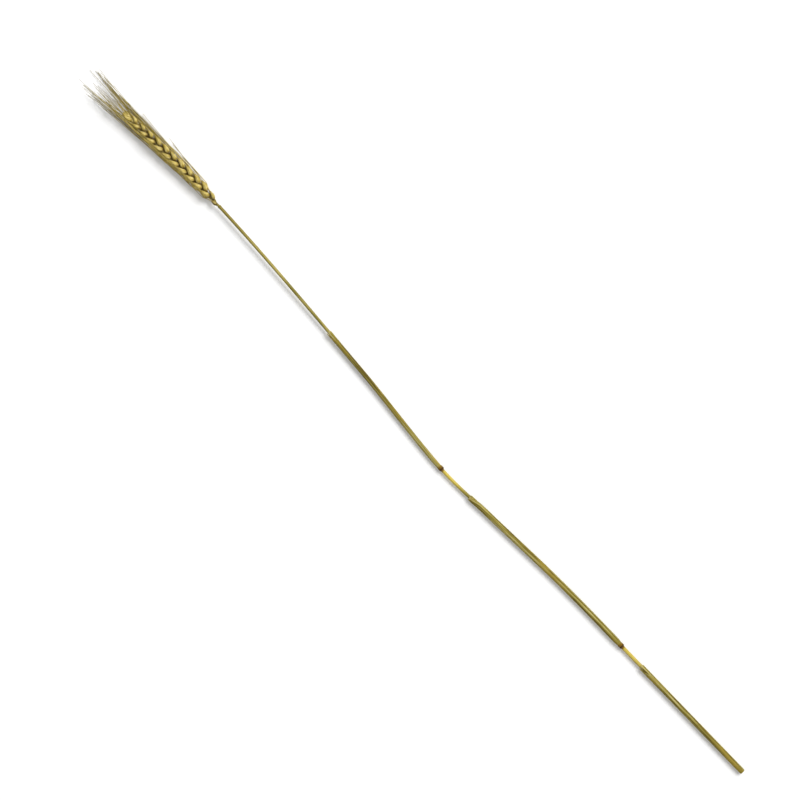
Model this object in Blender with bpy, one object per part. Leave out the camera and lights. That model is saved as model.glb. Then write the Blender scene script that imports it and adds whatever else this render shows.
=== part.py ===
"""A dried, bearded wheat ear on its cut straw, laid down on a flat surface.

The stalk lies along X, its ear towards +X. +Z is up and z = 0 is the surface it lies on. Places
along the stalk are distances from the cut end, and every length is in metres.
"""

import math
from collections import namedtuple

import bmesh
import bpy
from mathutils import Matrix, Vector

MM = 0.001

# Where things are along the stalk, measured from the cut end
LOWER_COLLAR = 100 * MM
LOWER_JOINT = 118 * MM
MIDDLE_COLLAR = 262 * MM
UPPER_JOINT = 288 * MM
UPPER_COLLAR = 408 * MM
STRAW_LENGTH = 518 * MM
EAR_LENGTH = 90 * MM
AWN_REACH = 39 * MM  # of the longest awns past the ear's tip

# The origin lies under the middle of the whole, so this is where the cut end's centre is
CUT_END_X = -(STRAW_LENGTH + EAR_LENGTH + AWN_REACH) / 2
CUT_END_Y = -5.8 * MM

# How far the stalk swings to +Y of the straight line from its cut end to the ear's base
BENDS = (
    (0, 0),
    (95 * MM, 2.0 * MM),
    (173 * MM, 3.8 * MM),
    (244 * MM, 8.2 * MM),
    (UPPER_JOINT, 10.4 * MM),
    (373 * MM, 4.9 * MM),
    (STRAW_LENGTH, 0),
    (STRAW_LENGTH + EAR_LENGTH, 4.0 * MM),
    (STRAW_LENGTH + EAR_LENGTH + AWN_REACH, 5.0 * MM),
)
LYING_HEIGHT = 2.1 * MM  # of the sheathed straw's centre line, which is half its thickness
EAR_HEIGHT = 3.75 * MM  # of the ear's centre line, so that its lowest husks touch the surface

# The straw
STRAW_RADIUS = 1.3 * MM
NECK_RADIUS = 1.1 * MM  # just under the ear
JOINT_RADIUS = 1.7 * MM
JOINT_HALF_LENGTH = 1.9 * MM
JOINT_FULL_HALF_LENGTH = 0.8 * MM  # of it at its full thickness
STRAW_COLOUR = (0.56, 0.44, 0.16)
BORE_RADIUS = 0.8 * MM
BORE_START = -5 * MM  # clear of the cut
BORE_STOP = 6 * MM  # the bore ends this far short of the lower joint
STRAW_STEP = 15 * MM  # between the sections of the straw

# The leaf sheaths wrapped round it
FIT_GAP = 0.3 * MM  # left between pieces that touch
SHEATH_SIDES = 10
SEAM_WIDTH = 0.5 * MM
SHEATH_STEP = 22 * MM
LOWER_WALL, UPPER_WALL = 0.5 * MM, 0.4 * MM
UPPER_HALF_THICKNESS = 1.8 * MM
SHEATH_FOOT = 0.96  # of its width, where it springs from its joint
SHEATH_FOOT_LENGTH = 8 * MM
COLLAR_SLANT = math.radians(32)  # of the collar's edge, away from square
SHEATH_COLOUR = (0.33, 0.29, 0.1)

# The ear: spikelets in two rows on a zigzag stalk
SPIKELETS = 23  # and one more on its tip
SPIKELET_PITCH = 3.65 * MM  # from one to the next, which is on the other side
FIRST_SPIKELET = 2.2 * MM
RACHIS_RADIUS = 0.95 * MM
RACHIS_TIP_RADIUS = 0.55 * MM
RACHIS_FOOT = 1.25  # of its radius, in the collar where the ear begins
RACHIS_FOOT_LENGTH = 1.2 * MM
ZIGZAG = 0.35 * MM
EAR_ROLL = math.radians(14)  # the two rows don't lie quite level
SPIKELET_LEAN = math.radians(20.5)  # out from the ear's line
SPIKELET_OFFSET = -0.3 * MM  # of its root, which is a little past the ear's line
STUNTED = (0.58, 0.78, 0.92)  # sizes of the lowest spikelets
TIP_SPIKELET = 0.72
SMALLEST = 0.76  # size of the uppermost spikelet in a row
SHRINKS_FROM = 0.45  # of the way up the ear
EAR_COLOUR = (0.46, 0.35, 0.08)

# How far the repeats differ from each other, each way
ROLL_VARIES = math.radians(4)
LEAN_VARIES = math.radians(1.5)
FAN_VARIES = math.radians(2)
HUSK_LENGTH_VARIES = 0.05
AWN_LENGTH_VARIES = 0.14
AWN_SPREAD_VARIES = 0.4
AWN_SCATTER = math.radians(26)  # round the ear's line

# The husks of one full-size spikelet. aside, out and forward say where a husk's base is from the
# spikelet's root: across the spikelet, away from the ear and along the spikelet. fan and flare are
# its lean across and away, and faces is how much its back looks across and away. awn is 1 where an
# awn grows from its tip. The middle florets' shorter awns lie among the others and are left out.
Husk = namedtuple("Husk", "length width depth bands aside out forward fan flare faces awn")
GLUME = Husk(
    6.4 * MM, 2.8 * MM, 1.8 * MM, 4, 0.75 * MM, 0, 0, math.radians(11), math.radians(2), (0.85, 0.5), 0
)
SIDE_FLORET = Husk(
    8.3 * MM, 2.8 * MM, 2.8 * MM, 5, 0.5 * MM, 0.1 * MM, 0.8 * MM, math.radians(8.5), 0, (0.8, 0.6), 1
)
MIDDLE_FLORET = Husk(
    7.4 * MM, 3.2 * MM, 2.8 * MM, 4, 0, 0.1 * MM, 1.9 * MM, 0, 0, (0, 1), 0
)
HUSK_SIDES = 6
FULLEST_LOW = 0.75  # below 1 a husk is fullest under its middle
BLUNTNESS = 0.8  # below 1 its ends are blunter than a sine wave's
BACK_SWELL = 1.3  # its keeled back stands out more than its half depth
INNER_FLATNESS = 0.55
HUSK_BOW = 0.22  # of its depth, bent outwards at its middle

# The awns
AWN_LENGTH_BASE = 40 * MM
AWN_LENGTH_MIDDLE = 62 * MM
AWN_LENGTH_TIP = 37 * MM
AWN_RADIUS = 0.36 * MM  # to the three edges of its root
AWN_TIP = 0.4  # of its root's thickness
AWN_STATIONS = (0, 0.32, 1)
AWN_SINK = 2.4 * MM  # of its root, in its husk
AWN_BEND = 0.1  # of its length, past which it runs on beside the ear
AWN_SPREAD_BASE = math.radians(0.8)  # away from the ear's line, from the lowest spikelets
AWN_SPREAD_TIP = math.radians(9)
LOWEST_AWN = 0.45 * MM  # height of the centre line of an awn that lies on the surface
SETTLING = 0.6 * MM  # height over which an awn comes to lie level

# root: where it starts, inside its husk. way: the way it leaves. ahead, sideways: along the ear and
# straight out from it. spread: how far it leans sideways at last.
Awn = namedtuple("Awn", "root way ahead sideways spread length")


def material(name, colour, roughness):
    made = bpy.data.materials.new(name)
    made.use_nodes = True
    shader = made.node_tree.nodes["Principled BSDF"]
    shader.inputs["Base Color"].default_value = (*colour, 1)
    shader.inputs["Roughness"].default_value = roughness
    shader.inputs["Metallic"].default_value = 0
    return made


def smooth_through(points, at):
    """A smooth curve through the (place, value) points, read at one place."""
    last = len(points) - 2
    i = max(k for k in range(last + 1) if k == 0 or points[k][0] <= at)
    (x0, y0), (x1, y1) = points[i], points[i + 1]

    def slope(k):
        if k in (0, len(points) - 1):
            k = min(max(k, 1), len(points) - 2)
        before, after = points[k - 1], points[k + 1]
        return (after[1] - before[1]) / (after[0] - before[0])

    width = x1 - x0
    t = (at - x0) / width
    rise, start, end = y1 - y0, slope(i) * width, slope(i + 1) * width
    return y0 + start * t + (3 * rise - 2 * start - end) * t**2 + (start + end - 2 * rise) * t**3


def eased(t):
    t = min(max(t, 0), 1)
    return t * t * (3 - 2 * t)


def stalk_point(along):
    """The stalk's centre line, this far from the cut end."""
    lift = eased((along - UPPER_JOINT) / (STRAW_LENGTH - UPPER_JOINT))
    height = LYING_HEIGHT + (EAR_HEIGHT - LYING_HEIGHT) * lift
    return Vector((CUT_END_X + along, CUT_END_Y + smooth_through(BENDS, along), height))


def stalk_frame(along):
    """Along the stalk, to its side and up, as unit vectors."""
    ahead = (stalk_point(along + MM) - stalk_point(along - MM)).normalized()
    side = Vector((0, 0, 1)).cross(ahead).normalized()
    return ahead, side, ahead.cross(side)


def stations(start, end, step, extra=()):
    """Places from start to end, no more than a step apart, with the extra ones among them."""
    count = math.ceil((end - start) / step)
    even = [start + (end - start) * i / count for i in range(count + 1)]
    clear = [a for a in even if all(abs(a - b) > step / 4 for b in extra)]
    return sorted({start, end, *clear, *extra})


def curve_along(name, points, radii, depth, bevel_resolution, section=None):
    """A tube on straight stretches through these points, with each point's radius in units of
    depth, or a sweep of a section."""
    data = bpy.data.curves.new(name, "CURVE")
    data.dimensions = "3D"
    data.twist_mode = "Z_UP"
    data.use_fill_caps = True
    if section:
        data.bevel_mode = "OBJECT"
        data.bevel_object = section
    else:
        data.bevel_depth = depth
        data.bevel_resolution = bevel_resolution
    spline = data.splines.new("POLY")
    spline.points.add(len(points) - 1)
    for target, point, radius in zip(spline.points, points, radii):
        target.co = (*point, 1)
        target.radius = radius
    made = bpy.data.objects.new(name, data)
    bpy.context.scene.collection.objects.link(made)
    return made


def as_mesh(curve_object, collection):
    """The curve's tube as a mesh object of the same name, with its caps welded on."""
    bpy.context.view_layer.update()
    evaluated = curve_object.evaluated_get(bpy.context.evaluated_depsgraph_get())
    mesh = bpy.data.meshes.new_from_object(evaluated)
    name, matrix = curve_object.name, curve_object.matrix_world.copy()
    bpy.data.objects.remove(curve_object)
    shape = bmesh.new()
    shape.from_mesh(mesh)
    bmesh.ops.remove_doubles(shape, verts=shape.verts, dist=0.001 * MM)
    bmesh.ops.recalc_face_normals(shape, faces=shape.faces)
    shape.to_mesh(mesh)
    shape.free()
    made = bpy.data.objects.new(name, mesh)
    made.matrix_world = matrix
    collection.objects.link(made)
    return made


def finish(obj, made_of, angle=40):
    """One material all over, shaded smooth but for edges sharper than the angle."""
    obj.data.materials.clear()
    obj.data.materials.append(made_of)
    obj.data.shade_smooth()
    obj.data.set_sharp_from_angle(angle=math.radians(angle))


def boolean(target, operation, other=None, collection=None):
    """Applies one Boolean to the target's mesh."""
    cut = target.modifiers.new(operation.title(), "BOOLEAN")
    cut.operation = operation
    cut.solver = "EXACT"
    if collection:
        cut.operand_type = "COLLECTION"
        cut.collection = collection
    else:
        cut.object = other
    bpy.context.view_layer.update()
    evaluated = target.evaluated_get(bpy.context.evaluated_depsgraph_get())
    mesh = bpy.data.meshes.new_from_object(evaluated)
    target.modifiers.remove(cut)
    target.data = mesh


def straw_radius(along):
    """The straw's own radius: it thins towards the ear and swells at its two joints."""
    plain = STRAW_RADIUS + (NECK_RADIUS - STRAW_RADIUS) * eased(along / STRAW_LENGTH)
    beyond = min(abs(along - joint) for joint in (LOWER_JOINT, UPPER_JOINT)) - JOINT_FULL_HALF_LENGTH
    swell = 1 - eased(beyond / (JOINT_HALF_LENGTH - JOINT_FULL_HALF_LENGTH))
    return plain + (JOINT_RADIUS - plain) * swell


def build_culm(parts, cutters):
    """The straw, with its two joints, hollow from the cut end nearly up to the lower one."""
    joints = [
        joint + offset * JOINT_HALF_LENGTH
        for joint in (LOWER_JOINT, UPPER_JOINT)
        for offset in (-1, -0.5, 0, 0.5, 1)
    ]
    places = stations(0, STRAW_LENGTH, STRAW_STEP, joints)
    radii = [straw_radius(along) / STRAW_RADIUS for along in places]
    tube = curve_along("culm", [stalk_point(a) for a in places], radii, STRAW_RADIUS, 3)
    culm = as_mesh(tube, parts)

    inside = stations(BORE_START, LOWER_JOINT - BORE_STOP, STRAW_STEP)
    bore = as_mesh(
        curve_along("bore_cutter", [stalk_point(a) for a in inside], [1] * len(inside), BORE_RADIUS, 2),
        cutters,
    )
    bore.hide_render = True
    bore.display_type = "WIRE"
    boolean(culm, "DIFFERENCE", other=bore)
    finish(culm, material("straw", STRAW_COLOUR, 0.5))
    return culm


def flat_outline(name, points):
    """A closed outline to sweep along a curve."""
    data = bpy.data.curves.new(name, "CURVE")
    data.dimensions = "2D"
    spline = data.splines.new("POLY")
    spline.points.add(len(points) - 1)
    for target, point in zip(spline.points, points):
        target.co = (*point, 0, 1)
    spline.use_cyclic_u = True
    made = bpy.data.objects.new(name, data)
    bpy.context.scene.collection.objects.link(made)
    return made


def sheath_section(name, half_thickness, wall, seam_at):
    """The sheath's cross-section: a many-sided ring left open by its seam. Its flats lie square to
    straight down, and half its thickness is measured to them."""
    step = 2 * math.pi / SHEATH_SIDES
    seam = seam_at * step - math.pi / 2
    half_seam = SEAM_WIDTH / 2 / half_thickness
    corners = [seam + step / 2 + i * step for i in range(SHEATH_SIDES)]
    outer = [(half_thickness / math.cos(half_seam), seam + half_seam)]
    outer += [(half_thickness / math.cos(step / 2), corner) for corner in corners]
    outer += [(half_thickness / math.cos(half_seam), seam + 2 * math.pi - half_seam)]
    shrink = (half_thickness - wall) / half_thickness
    inner = [(radius * shrink, angle) for radius, angle in reversed(outer)]
    return flat_outline(name, [(r * math.cos(a), r * math.sin(a)) for r, a in outer + inner])


def build_sheath(name, joint, collar, half_thickness, wall, seam_at, parts):
    """A leaf sheath: a tube that is open along its seam, with a slanting collar at its top end. It
    springs from its joint, or runs from the cut end if the joint was cut away."""
    section = sheath_section(name + "_section", half_thickness, wall, seam_at)
    if joint is None:
        places = stations(0, collar, SHEATH_STEP)
    else:
        start = joint + JOINT_HALF_LENGTH + FIT_GAP
        places = stations(start, collar, SHEATH_STEP, [start + SHEATH_FOOT_LENGTH])
    widths = [1 if joint is None or a > places[0] else SHEATH_FOOT for a in places]
    tube = curve_along(name, [stalk_point(a) for a in places], widths, 0, 0, section=section)
    sheath = as_mesh(tube, parts)
    bpy.data.objects.remove(section)
    ahead, side, up = stalk_frame(collar)
    centre = stalk_point(collar - half_thickness * math.tan(COLLAR_SLANT) - FIT_GAP)
    normal = (ahead * math.cos(COLLAR_SLANT) + up * math.sin(COLLAR_SLANT)).normalized()
    shape = bmesh.new()
    shape.from_mesh(sheath.data)
    everything = shape.verts[:] + shape.edges[:] + shape.faces[:]
    cut = bmesh.ops.bisect_plane(
        shape, geom=everything, plane_co=centre, plane_no=normal, clear_outer=True
    )
    rim = [e for e in cut["geom_cut"] if isinstance(e, bmesh.types.BMEdge)]
    bmesh.ops.contextual_create(shape, geom=rim)
    bmesh.ops.recalc_face_normals(shape, faces=shape.faces)
    shape.to_mesh(sheath.data)
    shape.free()
    finish(sheath, material(name, SHEATH_COLOUR, 0.7))
    return sheath


def vary(index, kind, amount):
    """A small, even variation of a repeated piece, from -amount to amount."""
    return amount * math.sin(2.399 * index + 1.7 * kind + 0.6 * index * kind)


def husk_mesh(length, width, depth, bands):
    """A boat-shaped husk, its base at the origin and its beak up Z, with its keeled back to +Y."""
    keel_turn = math.pi / 2 - round(HUSK_SIDES / 4) * 2 * math.pi / HUSK_SIDES
    shape = bmesh.new()
    bmesh.ops.create_uvsphere(shape, u_segments=HUSK_SIDES, v_segments=bands, radius=1)
    for vertex in shape.verts:
        t = (vertex.co.z + 1) / 2
        around = math.atan2(vertex.co.y, vertex.co.x) + keel_turn
        full = math.sin(math.pi * t**FULLEST_LOW) ** BLUNTNESS if 0 < t < 1 else 0
        back = math.sin(around) * (1 if math.sin(around) > 0 else INNER_FLATNESS)
        bow = HUSK_BOW * depth * math.sin(math.pi * t)
        vertex.co = (
            width / 2 * full * math.cos(around),
            depth / 2 * full * back * BACK_SWELL + bow,
            length * t,
        )
    return shape


def turned(way, base, back):
    """The move that puts a husk's base in place, its Z along its way and its Y towards its back."""
    side = back.cross(way).normalized()
    turn = Matrix((side, way.cross(side), way)).transposed()
    return Matrix.Translation(base) @ turn.to_4x4()


def spikelet_size(index):
    """Spikelets are stunted at the ear's base and get smaller again towards its tip."""
    base = STUNTED[index] if index < len(STUNTED) else 1
    shrunk = eased((index / (SPIKELETS - 1) - SHRINKS_FROM) / (1 - SHRINKS_FROM))
    return base * (1 + (SMALLEST - 1) * shrunk)


def awn_length(index):
    """Awns are longest halfway up the ear."""
    halves = min(2 * index / (SPIKELETS - 1), 2)
    if halves < 1:
        return AWN_LENGTH_BASE + (AWN_LENGTH_MIDDLE - AWN_LENGTH_BASE) * eased(halves)
    return AWN_LENGTH_MIDDLE + (AWN_LENGTH_TIP - AWN_LENGTH_MIDDLE) * (halves - 1)


def awn_on(index, kind, tip, way, size):
    """The awn on the tip of this floret."""
    along = STRAW_LENGTH + FIRST_SPIKELET + index * SPIKELET_PITCH
    ahead = stalk_frame(along)[0]
    from_ear = tip - stalk_point(along + (tip - stalk_point(along)).dot(ahead))
    from_ear = (from_ear - ahead * from_ear.dot(ahead)).normalized()
    sideways = Matrix.Rotation(vary(index, kind + 3, AWN_SCATTER), 3, ahead) @ from_ear
    length = awn_length(index) * (1 + vary(index, kind + 5, AWN_LENGTH_VARIES))
    spread = AWN_SPREAD_BASE + (AWN_SPREAD_TIP - AWN_SPREAD_BASE) * (index / SPIKELETS) ** 2
    spread *= 1 + vary(index, kind + 8, AWN_SPREAD_VARIES)
    return Awn(tip - way * AWN_SINK * size, way, ahead, sideways, spread, length)


def spikelet_parts(index):
    """(form, size, matrix, awn) for each husk of a spikelet: its length, width and depth, and its
    place. awn is None, or an Awn."""
    last = index == SPIKELETS
    along = STRAW_LENGTH + FIRST_SPIKELET + index * SPIKELET_PITCH
    ahead, level, up = stalk_frame(along)
    roll = EAR_ROLL + vary(index, 1, ROLL_VARIES) + (math.pi / 2 if last else 0)
    row = Matrix.Rotation(roll, 3, ahead) @ level
    across = ahead.cross(row)
    out = row * (-1 if index % 2 else 1)
    size = TIP_SPIKELET if last else spikelet_size(index)
    lean = 0 if last else SPIKELET_LEAN + vary(index, 2, LEAN_VARIES)
    axis = ahead * math.cos(lean) + out * math.sin(lean)
    outward = axis.cross(across)
    if outward.dot(out) < 0:
        outward = -outward
    root = stalk_point(along - MM) if last else stalk_point(along) + out * SPIKELET_OFFSET

    husks = [(GLUME, -1, 4), (SIDE_FLORET, -1, 6), (GLUME, 1, 3), (SIDE_FLORET, 1, 5)]
    if index > 0:
        husks.append((MIDDLE_FLORET, 1, 9))
    found = []
    for form, side, kind in husks:
        fan = side * (form.fan + vary(index, kind, FAN_VARIES))
        way = (axis + across * math.tan(fan) + outward * math.tan(form.flare)).normalized()
        base = across * side * form.aside + outward * form.out + axis * form.forward
        base = root + base * size
        back = across * side * form.faces[0] + outward * form.faces[1]
        length = form.length * size * (1 + vary(index, kind, HUSK_LENGTH_VARIES))
        awn = awn_on(index, kind, base + way * length, way, size) if form.awn else None
        measures = (length, form.width * size, form.depth * size)
        found.append((form, measures, turned(way, base, back), awn))
    return found


def awn_point(awn, t):
    """The centre line of an awn: it leaves the husk, swings in beside the ear and spreads slowly."""
    bend = awn.root + awn.way * AWN_BEND * awn.length
    onward = (awn.ahead + awn.sideways * math.tan(awn.spread)).normalized()
    end = bend + onward * (1 - AWN_BEND) * awn.length
    point = awn.root * (1 - t) ** 2 + bend * 2 * t * (1 - t) + end * t**2
    above = point.z - LOWEST_AWN
    point.z = LOWEST_AWN + (above + math.hypot(above, SETTLING)) / 2
    return point


def awn_section():
    """An awn's cross-section has three edges, one of them on top."""
    corners = [(math.cos(a), math.sin(a)) for a in (math.radians(90 + 120 * k) for k in range(3))]
    return flat_outline("awn_section", [(AWN_RADIUS * x, AWN_RADIUS * y) for x, y in corners])


def build_rachis(parts):
    """The ear's own stalk: a collar at its foot, then a step to each side in turn."""
    places = [STRAW_LENGTH + FIT_GAP, STRAW_LENGTH + RACHIS_FOOT_LENGTH]
    places += [STRAW_LENGTH + FIRST_SPIKELET + i * SPIKELET_PITCH for i in range(SPIKELETS + 1)]
    points, radii = [], []
    for i, along in enumerate(places):
        ahead, level, up = stalk_frame(along)
        swing = 0 if i < 2 else ZIGZAG * (-1 if i % 2 else 1)
        points.append(stalk_point(along) + level * swing)
        thin = 1 + (RACHIS_TIP_RADIUS / RACHIS_RADIUS - 1) * i / (len(places) - 1)
        radii.append(RACHIS_FOOT if i < 2 else thin)
    return as_mesh(curve_along("ear", points, radii, RACHIS_RADIUS, 1), parts)


def build_ear(parts, pieces):
    """The ear: its stalk joined by one union to all the husks and awns that grow on it."""
    ear = build_rachis(parts)
    edges = awn_section()
    for index in range(SPIKELETS + 1):
        for number, (form, measures, matrix, awn) in enumerate(spikelet_parts(index)):
            shape = husk_mesh(*measures, form.bands)
            bmesh.ops.transform(shape, matrix=matrix, verts=shape.verts)
            mesh = bpy.data.meshes.new(f"husk_{index}_{number}")
            shape.to_mesh(mesh)
            shape.free()
            pieces.objects.link(bpy.data.objects.new(mesh.name, mesh))
            if awn:
                line = [awn_point(awn, t) for t in AWN_STATIONS]
                radii = [1 + (AWN_TIP - 1) * t for t in AWN_STATIONS]
                name = f"awn_{index}_{number}"
                as_mesh(curve_along(name, line, radii, 0, 0, section=edges), pieces)
    bpy.data.objects.remove(edges)
    boolean(ear, "UNION", collection=pieces)
    for piece in list(pieces.objects):
        bpy.data.objects.remove(piece)
    finish(ear, material("ear", EAR_COLOUR, 0.55), 50)
    return ear


def main():
    for obj in list(bpy.data.objects):
        bpy.data.objects.remove(obj)
    parts = bpy.data.collections.new("wheat_ear")
    cutters = bpy.data.collections.new("cutters")
    pieces = bpy.data.collections.new("ear_pieces")
    for collection in (parts, cutters, pieces):
        bpy.context.scene.collection.children.link(collection)
    build_culm(parts, cutters)
    build_sheath("sheath_lower", None, LOWER_COLLAR, LYING_HEIGHT, LOWER_WALL, 4, parts)
    build_sheath("sheath_middle", LOWER_JOINT, MIDDLE_COLLAR, LYING_HEIGHT, LOWER_WALL, 6, parts)
    build_sheath(
        "sheath_upper", UPPER_JOINT, UPPER_COLLAR, UPPER_HALF_THICKNESS, UPPER_WALL, 4, parts
    )
    build_ear(parts, pieces)
    bpy.data.collections.remove(pieces)


main()
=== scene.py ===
# %% [markdown]
# # A dried wheat stalk, laid down
# One bearded wheat ear on its cut straw, seen from straight above on a white surface. The packed
# model is the frame: it fixes where every piece is and how big it is. This script loads it, then
# makes a finer piece for each of its nodes, because the frame's faceted solids are for measuring
# and for contact, and not for looking at.

# %% Load the frame and note its box
import math
from collections import namedtuple

import bmesh
import bpy
from mathutils import Matrix, Vector


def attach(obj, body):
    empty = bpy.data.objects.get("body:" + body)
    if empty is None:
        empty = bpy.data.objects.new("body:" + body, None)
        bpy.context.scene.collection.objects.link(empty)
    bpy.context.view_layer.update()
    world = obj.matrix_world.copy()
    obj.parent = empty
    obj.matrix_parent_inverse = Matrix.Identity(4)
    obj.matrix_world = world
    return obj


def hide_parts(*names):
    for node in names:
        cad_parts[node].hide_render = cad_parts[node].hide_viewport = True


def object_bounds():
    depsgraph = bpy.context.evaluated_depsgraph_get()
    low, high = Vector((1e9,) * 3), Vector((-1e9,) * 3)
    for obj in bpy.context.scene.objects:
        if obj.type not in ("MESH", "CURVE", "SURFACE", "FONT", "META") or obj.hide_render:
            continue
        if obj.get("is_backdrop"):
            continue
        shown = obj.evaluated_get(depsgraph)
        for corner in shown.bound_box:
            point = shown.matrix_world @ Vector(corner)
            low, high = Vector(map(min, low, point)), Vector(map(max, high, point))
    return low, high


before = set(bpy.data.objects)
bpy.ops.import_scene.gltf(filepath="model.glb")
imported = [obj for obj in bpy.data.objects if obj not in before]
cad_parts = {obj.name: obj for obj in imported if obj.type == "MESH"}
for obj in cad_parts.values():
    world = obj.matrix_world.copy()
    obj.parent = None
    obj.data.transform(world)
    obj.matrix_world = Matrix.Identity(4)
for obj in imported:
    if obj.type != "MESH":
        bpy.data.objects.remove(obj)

MM = 0.001
cad_box = [list(corner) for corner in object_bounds()]
print("nodes:", ", ".join(sorted(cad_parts)))
print("box in mm:", [[round(c / MM, 1) for c in corner] for corner in cad_box])

# %% [markdown]
# ## The stalk's line
# Everything on a stalk is placed by how far along it is, so one curve carries the whole object:
# straight enough to lie flat, with the lazy bend that straw takes at its joint. The same points are
# in the solid model. A smooth curve through a few points bends as a stalk does, where straight runs
# and arcs would look like bent wire.

# %% Where things are along the stalk
STRAW_LENGTH = 518 * MM
EAR_LENGTH = 90 * MM
AWN_REACH = 39 * MM
LOWER_JOINT = 118 * MM
UPPER_JOINT = 288 * MM
LOWER_COLLAR = 100 * MM
MIDDLE_COLLAR = 262 * MM
UPPER_COLLAR = 408 * MM
CUT_END_X = -(STRAW_LENGTH + EAR_LENGTH + AWN_REACH) / 2
CUT_END_Y = -5.8 * MM
LYING_HEIGHT = 2.1 * MM
EAR_HEIGHT = 3.75 * MM
BENDS = (
    (0, 0),
    (95 * MM, 2.0 * MM),
    (173 * MM, 3.8 * MM),
    (244 * MM, 8.2 * MM),
    (UPPER_JOINT, 10.4 * MM),
    (373 * MM, 4.9 * MM),
    (STRAW_LENGTH, 0),
    (STRAW_LENGTH + EAR_LENGTH, 4.0 * MM),
    (STRAW_LENGTH + EAR_LENGTH + AWN_REACH, 5.0 * MM),
)


def smooth_through(points, at):
    """A smooth curve through the (place, value) points, read at one place."""
    last = len(points) - 2
    i = max(k for k in range(last + 1) if k == 0 or points[k][0] <= at)
    (x0, y0), (x1, y1) = points[i], points[i + 1]

    def slope(k):
        if k in (0, len(points) - 1):
            k = min(max(k, 1), len(points) - 2)
        before, after = points[k - 1], points[k + 1]
        return (after[1] - before[1]) / (after[0] - before[0])

    width = x1 - x0
    t = (at - x0) / width
    rise, start, end = y1 - y0, slope(i) * width, slope(i + 1) * width
    return y0 + start * t + (3 * rise - 2 * start - end) * t**2 + (start + end - 2 * rise) * t**3


def eased(t):
    """0 up to t = 0 and 1 from t = 1, smoothly between them."""
    t = min(max(t, 0), 1)
    return t * t * (3 - 2 * t)


def stalk_point(along):
    """The stalk's centre line, this far from the cut end."""
    lift = eased((along - UPPER_JOINT) / (STRAW_LENGTH - UPPER_JOINT))
    height = LYING_HEIGHT + (EAR_HEIGHT - LYING_HEIGHT) * lift
    return Vector((CUT_END_X + along, CUT_END_Y + smooth_through(BENDS, along), height))


def stalk_frame(along):
    """Along the stalk, to its side and up, as unit vectors."""
    ahead = (stalk_point(along + MM) - stalk_point(along - MM)).normalized()
    side = Vector((0, 0, 1)).cross(ahead).normalized()
    return ahead, side, ahead.cross(side)


print("cut end at", [round(c / MM, 1) for c in stalk_point(0)])

# %% [markdown]
# ## Working on a straight piece
# Ribs, nerves and swellings are easy to model on a straight upright piece and hard on a bent one.
# So each piece is made along Z, as if the plant stood, and is laid along the stalk's line at the
# end. Before that its vertices note where they are on the straight piece. The materials read that
# note, so a streak follows the bend as grain follows a bent twig.

# %% Helpers for edit mode
SMOOTH_BELOW = math.radians(50)  # edges that turn less than this are shaded smooth


def begin(name):
    """Names the new primitive and opens it in edit mode."""
    piece = bpy.context.object
    piece.name = name
    bpy.ops.object.mode_set(mode="EDIT")
    bpy.ops.mesh.select_mode(type="VERT")
    return piece


def pick(test):
    """Selects the vertices whose place passes the test."""
    shape = bmesh.from_edit_mesh(bpy.context.object.data)
    for vertex in shape.verts:
        vertex.select_set(bool(test(vertex.co)))
    shape.select_flush_mode()
    bmesh.update_edit_mesh(bpy.context.object.data)


def add_ring(step, growth, place):
    """Extrudes the selected end by a step along Z, and resizes it about the axis there."""
    bpy.ops.mesh.extrude_region_move(TRANSFORM_OT_translate={"value": (0, 0, step)})
    bpy.ops.transform.resize(value=(growth, growth, 1), center_override=(0, 0, place))


def close_up():
    """Turns all faces outwards and leaves edit mode."""
    bpy.ops.mesh.select_all(action="SELECT")
    bpy.ops.mesh.normals_make_consistent(inside=False)
    bpy.ops.object.mode_set(mode="OBJECT")


def give_wall(piece, thickness):
    """Gives an open shell a wall of this thickness, on its inner side."""
    wall = piece.modifiers.new("Wall", "SOLIDIFY")
    wall.thickness = thickness
    wall.offset = -1
    bpy.context.view_layer.objects.active = piece
    bpy.ops.object.modifier_apply(modifier=wall.name)


def note_places(piece, unit=MM):
    """Each vertex notes where it is now for the materials, in mm, and along Z in its unit."""
    store = piece.data.attributes.new("place", "FLOAT_VECTOR", "POINT")
    for vertex, note in zip(piece.data.vertices, store.data):
        note.vector = (vertex.co.x / MM, vertex.co.y / MM, vertex.co.z / unit)


def lay_along_stalk(piece):
    """Bends an upright piece so that its Z follows the stalk's line."""
    for vertex in piece.data.vertices:
        across, up, along = vertex.co
        ahead, side, above = stalk_frame(along)
        vertex.co = stalk_point(along) + side * across + above * up


def settled(height, lowest, softness):
    """A height that never goes below the lowest one, and eases towards it."""
    above = height - lowest
    return lowest + (above + math.hypot(above, softness)) / 2


def keep(piece, node, material):
    """The finished piece stands for its node, rides with it and wears its material."""
    piece.data.materials.clear()
    piece.data.materials.append(material)
    bpy.ops.object.select_all(action="DESELECT")
    piece.select_set(True)
    bpy.context.view_layer.objects.active = piece
    bpy.ops.object.shade_smooth_by_angle(angle=SMOOTH_BELOW)
    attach(piece, "root")
    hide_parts(node)
    print(piece.name, "has", len(piece.data.polygons), "faces")


# %% [markdown]
# ## Nodes for the materials
# Every finish here is worked out from noise stretched along the plant's own grain. Small helpers
# keep the recipes short: one adds a node with its values and links, one turns a colour as it is
# picked from a picture into the linear light that a shader wants, and one for each kind of node
# that the recipes use again and again.

# %% Helpers for materials
LIT = 1.3  # a surface looks this many times lighter than its own colour, under the studio light
SHEEN = 0.25  # specular level of straw, leaf and husk


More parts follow.
